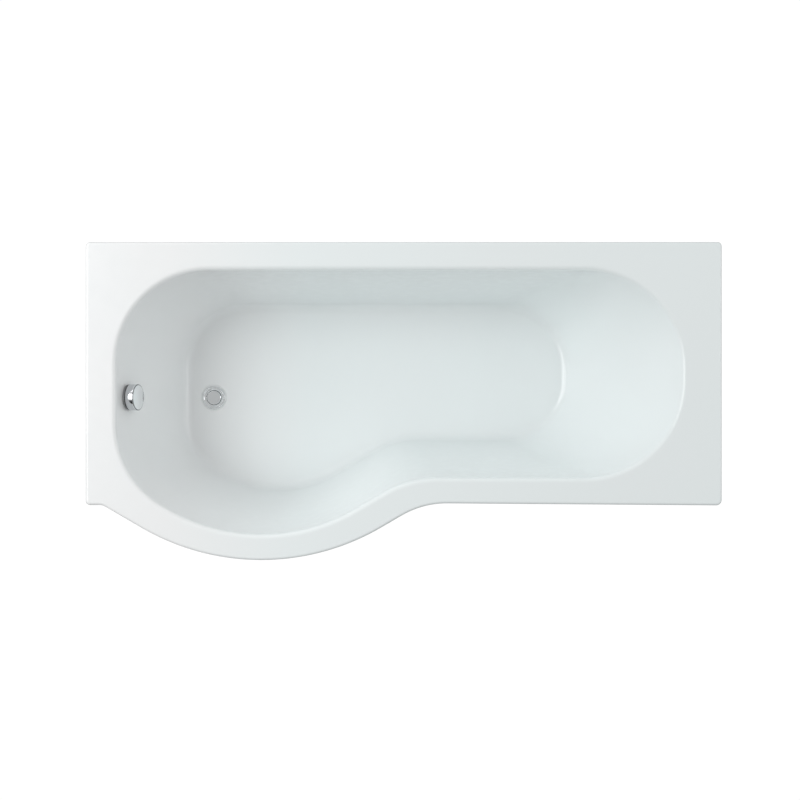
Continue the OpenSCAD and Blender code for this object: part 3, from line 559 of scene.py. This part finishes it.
# a ring of points, then each further ring drawn out of it by extruding its edge
def skinOf(rings):
    clearSelection()
    bpy.ops.mesh.primitive_circle_add(vertices=len(rings[0]), radius=0.5)
    piece = bpy.context.object
    bpy.ops.object.mode_set(mode="EDIT")
    bpy.ops.mesh.select_all(action="SELECT")
    mesh = bmesh.from_edit_mesh(piece.data)
    place = mesh.verts.layers.int.new("column")
    mesh.verts.ensure_lookup_table()
    for index, vertex in enumerate(mesh.verts):
        vertex[place] = index
        vertex.co = rings[0][index]
    bmesh.update_edit_mesh(piece.data)
    for ring in rings[1:]:
        bpy.ops.mesh.extrude_edges_move()
        mesh = bmesh.from_edit_mesh(piece.data)
        place = mesh.verts.layers.int["column"]
        for vertex in mesh.verts:
            if vertex.select:
                vertex.co = ring[vertex[place]]
        bmesh.update_edit_mesh(piece.data)
    bpy.ops.object.mode_set(mode="OBJECT")
    return piece


# the rings round the waste: the floor dips into a shallow seat for the flange
def wasteRings(steps, seat):
    low = floorHeight(wasteX)
    dip = bath["recessDepth"]
    profile = [(bath["seatEdge"], 0), (0.0425, 0), (0.0408, 0.04), (0.0396, 0.16), (0.0388, 0.42), (0.0383, 0.75),
               (0.0378, 0.95), (0.0370, 1.0), (0.032, 1.0), (bath["wasteHole"], 1.0)]
    if not seat:
        profile = [(bath["seatEdge"], 0), (0.036, 0), (bath["wasteHole"], 0)]
    rings = []
    for radius, share in profile:
        ring = []
        for step in range(steps):
            turn = 2 * math.pi * step / steps
            x = wasteX + radius * math.cos(turn)
            level = floorHeight(x) * (1 - share) + (low - dip) * share
            ring.append((x, drainY + radius * math.sin(turn), level))
        rings.append(ring)
    return rings


# the flat between the open edges that the test picks is filled
def flatFilled(piece, picks):
    pick(piece)
    bpy.ops.object.mode_set(mode="EDIT")
    bpy.ops.mesh.select_mode(type="EDGE")
    bpy.ops.mesh.select_all(action="DESELECT")
    mesh = bmesh.from_edit_mesh(piece.data)
    for edge in mesh.edges:
        edge.select_set(len(edge.link_faces) == 1 and all(picks(vertex.co) for vertex in edge.verts))
    bmesh.update_edit_mesh(piece.data)
    bpy.ops.mesh.fill(use_beauty=True)
    bpy.ops.mesh.select_mode(type="VERT")
    bpy.ops.object.mode_set(mode="OBJECT")
    return piece


def atRim(at):
    return abs(at.z - rim) < 1e-5


def roundFloor(at):
    away = math.hypot(at.x - wasteX, at.y - drainY)
    return abs(at.z - floorHeight(at.x)) < 2e-5 and away > bath["seatEdge"] - 0.0005


# faces all turned to the user's side of the sheet, as the one in the middle of the floor shows
def turnedUp(piece):
    tidied(piece)
    middle = Vector((0, drainY, floorHeight(0)))
    if min(piece.data.polygons, key=lambda face: (face.center - middle).length).normal.z < 0:
        piece.data.flip_normals()


# place of the overflow, and the lean of the wall that it is in, taken over the wall's upper third
footDrop = rim - floorHeight(footX + bath["footRim"] + bath["footRun"])
footLean = math.atan((bath["footRun"] / 3 - bath["bow"] * 8 / 9) * 3 / footDrop)
overflowAt = Vector((footX + bath["footRim"] + bath["overflowDrop"] * math.tan(footLean), drainY,
                     rim - bath["overflowDrop"]))
overflowTurn = math.pi / 2 - footLean


def overflowCutter():
    clearSelection()
    bpy.ops.mesh.primitive_cylinder_add(vertices=96, radius=bath["overflowHole"], depth=0.06,
                                        location=overflowAt, rotation=(0, overflowTurn, 0))
    return bpy.context.object


def bathShell():
    shell = joined([skinOf(edgeRings()), skinOf([rollRing(bath["flatMargin"])] + wellRings),
                    skinOf(wasteRings(128, True))])
    flatFilled(shell, roundFloor)
    flatFilled(shell, atRim)
    turnedUp(shell)
    applied(shell, "SOLIDIFY", thickness=bath["sheet"], offset=-1)
    cutWith(shell, overflowCutter())
    settled(shell, "acrylicShell", "bath", finishes["acrylic"], ["bath_shell"], 40)


def glassFibreBacking():
    layer = dict(bond=0.0002, thickness=0.003, lap=0.012, lumps=0.0005, lumpSize=0.035)
    backing = joined([skinOf([rollRing(layer["lap"])] + wellRings), skinOf(wasteRings(96, False))])
    turnedUp(flatFilled(backing, roundFloor))
    pick(backing)
    bpy.ops.object.mode_set(mode="EDIT")
    bpy.ops.mesh.select_all(action="SELECT")
    bpy.ops.transform.shrink_fatten(value=-(bath["sheet"] + layer["bond"]))
    bpy.ops.object.mode_set(mode="OBJECT")
    applied(backing, "SOLIDIFY", thickness=layer["thickness"], offset=-1)
    cutWith(backing, overflowCutter())
    texture = bpy.data.textures.new("resinLumps", "CLOUDS")
    texture.noise_scale = layer["lumpSize"]
    texture.noise_depth = 3
    applied(backing, "DISPLACE", texture=texture, strength=layer["lumps"], mid_level=0.5, texture_coords="LOCAL")
    settled(backing, "glassFibreBacking", "bath", finishes["glassFibre"],
            ["glass_fibre_backing"], 50)


bathShell()
glassFibreBacking()
print("shell and backing made:", columns, "columns")


def boardAndBattens():
    eased("baseboard", "chipboardBase", "bath", "chipboard", finishes["chipboard"], 0.0012)
    for node, way in (("wall_batten", "X"), ("front_batten", "X"), ("bulge_batten", "X"),
                      ("foot_batten", "Y"), ("head_batten", "Y")):
        name = node.replace("_batten", "Batten")
        eased(node, name, "bath", "timber", finishes["timberAlong" + way], 0.0015)


boardAndBattens()


def steelwork():
    for node, name in (("foot_rail", "footRail"), ("head_rail", "headRail"), ("centre_bracket", "centreBracket"),
                       ("wall_brackets", "wallBrackets")):
        eased(node, name, "bath", "galvanised_steel", finishes["galvanised"], 0.0005)
    eased("leg_nuts", "legNuts", "bath", "zinc_steel", finishes["zinc"], 0.0008)
    eased("rail_screws", "railScrews", "bath", "yellow_zinc", finishes["yellowZinc"], 0.0002)
    eased("bracket_screws", "bracketScrews", "bath", "yellow_zinc", finishes["yellowZinc"], 0.0002)


steelwork()


# a threaded rod: one pitch of the tooth, drawn up a screw and cut off square
def threadedRod(radius, low, high, at):
    thread = dict(pitch=0.0015, depth=0.0009, steps=28)
    pitch, root = thread["pitch"], radius - thread["depth"]
    clearSelection()
    bpy.ops.mesh.primitive_circle_add(vertices=5, radius=0.001)
    rod = bpy.context.object
    bpy.ops.object.mode_set(mode="EDIT")
    bpy.ops.mesh.select_all(action="SELECT")
    bpy.ops.mesh.delete(type="EDGE_FACE")
    bpy.ops.object.mode_set(mode="OBJECT")
    tooth = ((root, 0), (root, 0.12), (radius, 0.5), (radius, 0.62), (root, 1))
    for vertex, (out, share) in zip(rod.data.vertices, tooth):
        vertex.co = (out, 0, pitch * share)
    rod.data.edges.add(4)
    for edge in rod.data.edges:
        edge.vertices = (edge.index, edge.index + 1)
    turns = math.ceil((high - low) / pitch) + 3
    applied(rod, "SCREW", angle=2 * math.pi, screw_offset=pitch, iterations=turns,
            steps=thread["steps"], render_steps=thread["steps"], axis="Z", use_merge_vertices=True,
            merge_threshold=1e-6)
    rod.data.transform(Matrix.Translation((*at, low - 1.5 * pitch)))
    for height, upper in ((low, False), (high, True)):
        pick(rod)
        bpy.ops.object.mode_set(mode="EDIT")
        bpy.ops.mesh.select_all(action="SELECT")
        bpy.ops.mesh.bisect(plane_co=(0, 0, height), plane_no=(0, 0, 1), use_fill=True,
                            clear_outer=upper, clear_inner=not upper)
        bpy.ops.object.mode_set(mode="OBJECT")
    return tidied(rod, 1e-7)


# a levelling leg: the stem's thread, and a moulded foot round its end
def levellingLeg(leg):
    size = dict(pad=0.006, cone=0.012, hub=0.012, hubTop=0.022, gap=0.0001)
    low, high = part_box(leg + "_stem")
    at = ((low.x + high.x) / 2, (low.y + high.y) / 2)
    radius = (high.x - low.x) / 2
    first, *others = leg.split("_")
    name = first + "".join(other.title() for other in others)
    stem = threadedRod(radius, low.z, high.z, at)
    settled(stem, name + "Stem", leg + "_leg", finishes["zinc"], [leg + "_stem"], 25)
    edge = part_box(leg + "_foot")[1].x - at[0]
    bore = radius + size["gap"]
    socket = low.z - size["gap"]
    foot = turned([
        (0, 0), (edge - 0.0015, 0, 0.0004), (edge, 0.0015, 0.001), (edge, size["pad"], 0.0018),
        (edge - 0.0045, size["pad"], 0.001), (size["hub"] + 0.001, size["cone"], 0.002),
        (size["hub"], size["hubTop"], 0.0012), (bore, size["hubTop"], 0.0005),
        (bore, socket), (0, socket)], (*at, 0), steps=72)
    settled(foot, name + "Foot", leg + "_leg", finishes["footPlastic"], [leg + "_foot"])


for leg in ("foot_wall", "foot_front", "head_wall", "head_front", "centre"):
    levellingLeg(leg)
print("board, battens, rails and legs made")


# the route of the hose and of the cable: down, round one bend, and level into the waste body
def routePoint(box, radius, bend, along):
    low, high = box
    x, z, endZ = low.x + radius, high.z, low.z + radius
    drop = z - endZ - bend
    arc = bend * math.pi / 2
    if along <= drop:
        return Vector((x, 0, z - along)), 0
    if along <= drop + arc:
        turn = (along - drop) / bend
        return Vector((x + bend * (1 - math.cos(turn)), 0, endZ + bend * (1 - math.sin(turn)))), turn
    return Vector((x + bend + along - drop - arc, 0, endZ)), math.pi / 2


def routeLength(box, radius, bend):
    low, high = box
    return (high.z - low.z - radius - bend) + bend * math.pi / 2 + (high.x - low.x - radius - bend)


def routeRing(box, radius, bend, along, out, sides):
    at, turn = routePoint(box, radius, bend, along)
    y = (box[0].y + box[1].y) / 2
    ring = []
    for side in range(sides):
        a = 2 * math.pi * side / sides
        ring.append((at.x + out * math.cos(a) * math.cos(turn), y + out * math.sin(a),
                     at.z + out * math.cos(a) * math.sin(turn)))
    return ring


# one corrugation is a rounded crest and a narrower root
def ribbedHose():
    hose = dict(radius=0.017, bend=0.110, cuff=0.034, pitch=0.006, groove=0.0022, wall=0.0035, ease=0.0006,
                sides=36, stepsPerRib=8, stepsInside=30)
    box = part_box("overflow_hose")
    length = routeLength(box, hose["radius"], hose["bend"])
    ribbed = length - 2 * hose["cuff"]
    ribs = math.floor(ribbed / hose["pitch"])
    bore = hose["radius"] - hose["wall"]
    stations = [(0, bore), (0, hose["radius"] - hose["ease"]), (hose["ease"], hose["radius"]),
                (hose["cuff"] * 0.5, hose["radius"])]
    for step in range(ribs * hose["stepsPerRib"]):
        share = step / hose["stepsPerRib"]
        crest = (0.5 + 0.5 * math.cos(2 * math.pi * share)) ** 0.6
        stations.append((hose["cuff"] + ribbed / ribs * share, hose["radius"] - hose["groove"] * (1 - crest)))
    stations += [(length - hose["cuff"], hose["radius"]), (length - hose["ease"], hose["radius"]),
                 (length, hose["radius"] - hose["ease"]), (length, bore)]
    inside = [(length * (1 - step / hose["stepsInside"]), bore) for step in range(1, hose["stepsInside"] + 1)]
    rings = [routeRing(box, hose["radius"], hose["bend"], along, out, hose["sides"])
             for along, out in stations + inside]
    piece = tidied(skinOf(rings))
    settled(piece, "overflowHose", "bath", finishes["hosePlastic"], ["overflow_hose"], 60)
    print("hose length", round(length, 3))


def cableSheath():
    cable = dict(radius=0.003, bend=0.125, sides=16, steps=90)
    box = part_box("pull_cable")
    length = routeLength(box, cable["radius"], cable["bend"])
    rings = [routeRing(box, cable["radius"], cable["bend"], length * step / cable["steps"], cable["radius"],
                       cable["sides"]) for step in range(cable["steps"] + 1)]
    piece = skinOf(rings)
    pick(piece)
    bpy.ops.object.mode_set(mode="EDIT")
    bpy.ops.mesh.select_all(action="SELECT")
    bpy.ops.mesh.edge_face_add()
    bpy.ops.object.mode_set(mode="OBJECT")
    tidied(piece)
    settled(piece, "pullCable", "bath", finishes["sheath"], ["pull_cable"], 60)
    print("cable length", round(length, 3))


ribbedHose()
cableSheath()


# a hand nut: a sleeve with scoops round it for grip
def hoseNut(node, name, lean):
    nut = dict(outer=0.021, inner=0.0173, length=0.026, scoops=18, scoop=0.0029, scoopOut=0.0022)
    low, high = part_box(node)
    half = nut["length"] / 2
    piece = turned([(nut["inner"], -half, 0.0004), (nut["outer"], -half, 0.0012), (nut["outer"], half, 0.0012),
                    (nut["inner"], half, 0.0004)], steps=72)
    cutters = []
    for index in range(nut["scoops"]):
        turn = 2 * math.pi * index / nut["scoops"]
        out = nut["outer"] + nut["scoopOut"]
        clearSelection()
        bpy.ops.mesh.primitive_cylinder_add(vertices=20, radius=nut["scoop"], depth=nut["length"] * 0.8,
                                            location=(out * math.cos(turn), out * math.sin(turn), 0))
        cutters.append(bpy.context.object)
    cutWith(piece, joined(cutters))
    piece.data.transform(Matrix.Translation((low + high) / 2) @ Matrix.Rotation(lean, 4, "Y"))
    settled(piece, name, "bath", finishes["blackPlastic"], [node])


def overflowSet():
    back = dict(width=0.0009, segments=3)
    eased("overflow_body", "overflowBody", "bath", "waste_plastic", finishes["whitePlastic"], **back)
    eased("overflow_rear_cover", "overflowRearCover", "bath", "waste_plastic", finishes["whitePlastic"], **back)
    eased("overflow_seal", "overflowSeal", "bath", "seal_rubber", finishes["blackRubber"], 0.0004)
    eased("overflow_plate", "overflowPlate", "bath", "chrome", finishes["chrome"], 0.0004)
    eased("knob_spindle", "knobSpindle", "knob", "brass", finishes["brass"], 0.0004)
    eased("cable_cam", "cableCam", "knob", "black_plastic", finishes["blackPlastic"], 0.0005)
    hoseNut("hose_upper_nut", "hoseUpperNut", 0)
    hoseNut("hose_lower_nut", "hoseLowerNut", math.pi / 2)


# the knob's chrome, with painted shade: its base colour is darker down its side, and dark in a thin ring round the
# edge of its face
def knobChromePaintedShade(radius, end, edge):
    # side and ring are the tones of the painted shade; face is the chrome's own tone
    look = dict(face=(0.83, 0.84, 0.85), side=(0.66, 0.67, 0.69), ring=(0.16, 0.17, 0.18), gloss=(0.05, 0.10),
                smudges=60)
    axis = dict(turn=(0, math.degrees(overflowTurn), 0), origin=overflowAt)
    finish = Finish("knobChromePaintedShade", Metallic=1.0)
    along = finish.node("ShaderNodeSeparateXYZ", {}, {0: finish.mapped(**axis)}, 2)
    out = finish.node("ShaderNodeVectorMath", {"operation": "LENGTH"}, {
        0: finish.mapped((1, 1, 1e-6), **axis)}, "Value")
    # painted shade: the base colour darkens down the side, behind the face's edge
    side = finish.spread(along, 1, 0, end - edge * 2, end - edge)
    # painted shade: a dark ring on the face's rounded edge
    ring = finish.spread(along, 0, 1, end - edge * 0.7, end - edge * 0.3) * finish.spread(
        out, 0, 1, radius - edge * 1.2, radius - edge)
    finish.set("Base Color", finish.blend(ring, finish.blend(side, look["face"], look["side"]), look["ring"]))
    finish.set("Roughness", finish.spread(finish.noise(look["smudges"], 4, 0.6), *look["gloss"]))
    return finish.material


# a chromed cup over a black inner ring, which shows as a dark line at the back: the ring's black is painted shade
# for the shadowed gap behind the cup
def overflowKnob():
    knob = dict(radius=0.036, gap=0.005, length=0.026, wall=0.0025, ring=0.0036, edge=0.0024,
                boss=0.010, bore=0.00405, bossDepth=0.012, webDepth=0.005, setBack=0.0005, fit=0.0001)
    radius, start = knob["radius"], knob["gap"]
    end = start + knob["length"]
    blackShadeRingTop = start + knob["ring"]
    hollow = radius - knob["wall"]
    ceiling = end - knob["wall"]
    outer, inside = radius - knob["setBack"], radius - knob["webDepth"]
    cup = turned([
        (hollow, blackShadeRingTop, 0.0004), (radius, blackShadeRingTop, 0.0006), (radius, end, knob["edge"]), (0, end),
        (0, ceiling), (hollow, ceiling, 0.001)], overflowAt, overflowTurn, 128)
    settled(cup, "knobCup", "knob", knobChromePaintedShade(radius, end, knob["edge"]), ["overflow_knob"])
    # the inner part in black plastic, whose rim at the cup's back is painted shade
    inner = turned([
        (inside, start, 0.0004), (outer, start, 0.0005), (outer, blackShadeRingTop - knob["fit"]),
        (hollow - knob["fit"], blackShadeRingTop), (hollow - knob["fit"], ceiling - 2 * knob["fit"]),
        (knob["bore"], ceiling - 2 * knob["fit"]), (knob["bore"], end - knob["bossDepth"], 0.0004),
        (knob["boss"], end - knob["bossDepth"], 0.0006), (knob["boss"], end - knob["webDepth"]),
        (inside, end - knob["webDepth"])], overflowAt, overflowTurn, 96)
    settled(inner, "knobInner", "knob", finishes["blackPlastic"])


def wasteSet():
    eased("waste_body", "wasteBody", "bath", "waste_plastic", finishes["whitePlastic"], 0.0008, 3)
    eased("lever_cover", "leverCover", "bath", "waste_plastic", finishes["whitePlastic"], 0.0008, 3)
    eased("waste_flange_seal", "wasteFlangeSeal", "bath", "white_seal", finishes["whiteRubber"], 0.0003)
    eased("waste_lower_seal", "wasteLowerSeal", "bath", "seal_rubber", finishes["blackRubber"], 0.0004)
    eased("plug_seal", "plugSeal", "plug", "seal_rubber", finishes["blackRubber"], 0.0003)
    eased("plug_stem", "plugStem", "plug", "brass", finishes["brass"], 0.0003)
    eased("lifting_lever", "liftingLever", "lever", "black_plastic", finishes["blackPlastic"], 0.0004)


# a pressed ring with a fine groove, dished down to the plug
def wasteFlange():
    flange = dict(radius=0.035, thick=0.003, crown=0.0318, sleeve=0.024, bore=0.020, shelf=0.0225, shelfDrop=0.0032,
                  shoulder=0.0059, dish=0.0288, dishDrop=0.0025, groove=0.0009)
    low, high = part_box("waste_flange")
    top = high.z
    under = top - flange["thick"]
    shoulder = top - flange["shoulder"]
    groove = top - flange["groove"]
    ring = turned([
        (flange["bore"], low.z, 0.0004), (flange["sleeve"], low.z, 0.0004), (flange["sleeve"], under, 0.0006),
        (flange["radius"] - 0.0004, under, 0.0003), (flange["radius"], under + 0.0006, 0.0004),
        (flange["radius"] - 0.0016, top - 0.0008, 0.0016), (flange["crown"], top, 0.001),
        (flange["dish"] + 0.0010, top, 0.0006), (flange["dish"], groove, 0.0003),
        (flange["dish"] - 0.0012, groove, 0.0004),
        (flange["shelf"] + 0.0012, top - flange["dishDrop"], 0.0012),
        (flange["shelf"], top - flange["shelfDrop"], 0.0006),
        (flange["shelf"], shoulder), (flange["bore"], shoulder, 0.0004)], (wasteX, drainY, 0), 0, 128, 5)
    settled(ring, "wasteFlange", "bath", finishes["chrome"], ["waste_flange"])


def plugCap():
    cap = dict(radius=0.0215, thick=0.003, hub=0.0159, bore=0.00405, socket=0.003)
    low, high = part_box("plug_cap")
    base = high.z - cap["thick"]
    socket = low.z + cap["socket"]
    piece = turned([
        (0, socket), (cap["bore"], socket), (cap["bore"], low.z), (cap["hub"], low.z, 0.0004),
        (cap["hub"], base), (cap["radius"] - 0.0006, base, 0.0003), (cap["radius"], base + 0.0008, 0.0005),
        (cap["radius"] - 0.0003, high.z - 0.0012, 0.0008), (cap["radius"] - 0.0018, high.z, 0.0008), (0, high.z)],
        (wasteX, drainY, 0), 0, 128, 5)
    settled(piece, "plugCap", "plug", finishes["chrome"], ["plug_cap"])


overflowSet()
overflowKnob()
wasteSet()
wasteFlange()
plugCap()
print("waste, overflow, knob and plug made")

# a pale room that looks white and is dim below the horizon, and soft lamps: (place, width, height, power)
studio = dict(seen=1.03, ambient=0.522, tint=(0.985, 1.0, 1.0), below=0.45, horizon=(-0.06, 0.10),
              brighterSide=0.15, darkCornerAt=(-0.37, -0.66, 0.65), darkCornerSize=0.30, aim=(0, 0, 0.4))
lamps = dict(
    key=((-2.9, 0.5, 4.15), 3.2, 1.7, 65),
    window=((-1.7, 3.0, 1.9), 2.4, 1.4, 10),
    footEnd=((-3.4, 0.6, 2.2), 1.6, 1.6, 20),
    headEnd=((3.4, 0.3, 2.2), 1.6, 1.6, 15.5),
)
camera = dict(x=-0.00985, y=0.0028, above=3.0, span=2.1344, sensor=36)


def softLight(name):
    at, width, height, power = lamps[name]
    data = bpy.data.lights.new(name + "Light", "AREA")
    data.shape = "RECTANGLE"
    data.energy = power
    data.size = width
    data.size_y = height
    lamp = bpy.data.objects.new(name + "Light", data)
    bpy.context.scene.collection.objects.link(lamp)
    lamp.location = at
    lamp.rotation_euler = (Vector(studio["aim"]) - lamp.location).to_track_quat("-Z", "Y").to_euler()


# the room looks white, and lights the bath a little more from the wall side and less from below
def paleRoom():
    world = bpy.data.worlds.new("paleRoom")
    bpy.context.scene.world = world
    world.use_nodes = True
    room = Graph(world.node_tree)
    way = room.node("ShaderNodeTexCoord", output="Generated")
    side = room.node("ShaderNodeSeparateXYZ", {}, {0: way}, 1)
    height = room.node("ShaderNodeSeparateXYZ", {}, {0: way}, 2)
    away = room.node("ShaderNodeVectorMath", {"operation": "DISTANCE"}, {
        0: way, 1: Vector(studio["darkCornerAt"]).normalized()}, "Value")
    corner = room.spread(away, 0.1, 1, studio["darkCornerSize"] * 0.6, studio["darkCornerSize"] * 1.2)
    above = room.spread(height, studio["below"], 1, *studio["horizon"])
    strength = (side * studio["brighterSide"] + 1) * studio["ambient"] * corner * above
    lit = room.node("ShaderNodeBackground", {}, {"Color": (*studio["tint"], 1), "Strength": strength})
    shown = room.node("ShaderNodeBackground", {}, {"Color": (1, 1, 1, 1), "Strength": studio["seen"]})
    cameraRay = room.node("ShaderNodeLightPath", output="Is Camera Ray")
    choice = room.node("ShaderNodeMixShader", {}, {0: cameraRay, 1: lit, 2: shown})
    room.tree.links.new(choice.socket, room.tree.nodes["World Output"].inputs["Surface"])


def overheadCamera():
    data = bpy.data.cameras.new("overhead")
    data.sensor_width = camera["sensor"]
    data.lens = camera["sensor"] * camera["above"] / camera["span"]
    eye = bpy.data.objects.new("overhead", data)
    bpy.context.scene.collection.objects.link(eye)
    eye.location = (camera["x"], camera["y"], rim + camera["above"])
    bpy.context.scene.camera = eye


paleRoom()
for name in lamps:
    softLight(name)
overheadCamera()
bpy.context.scene.view_settings.view_transform = "Standard"
print("studio set")
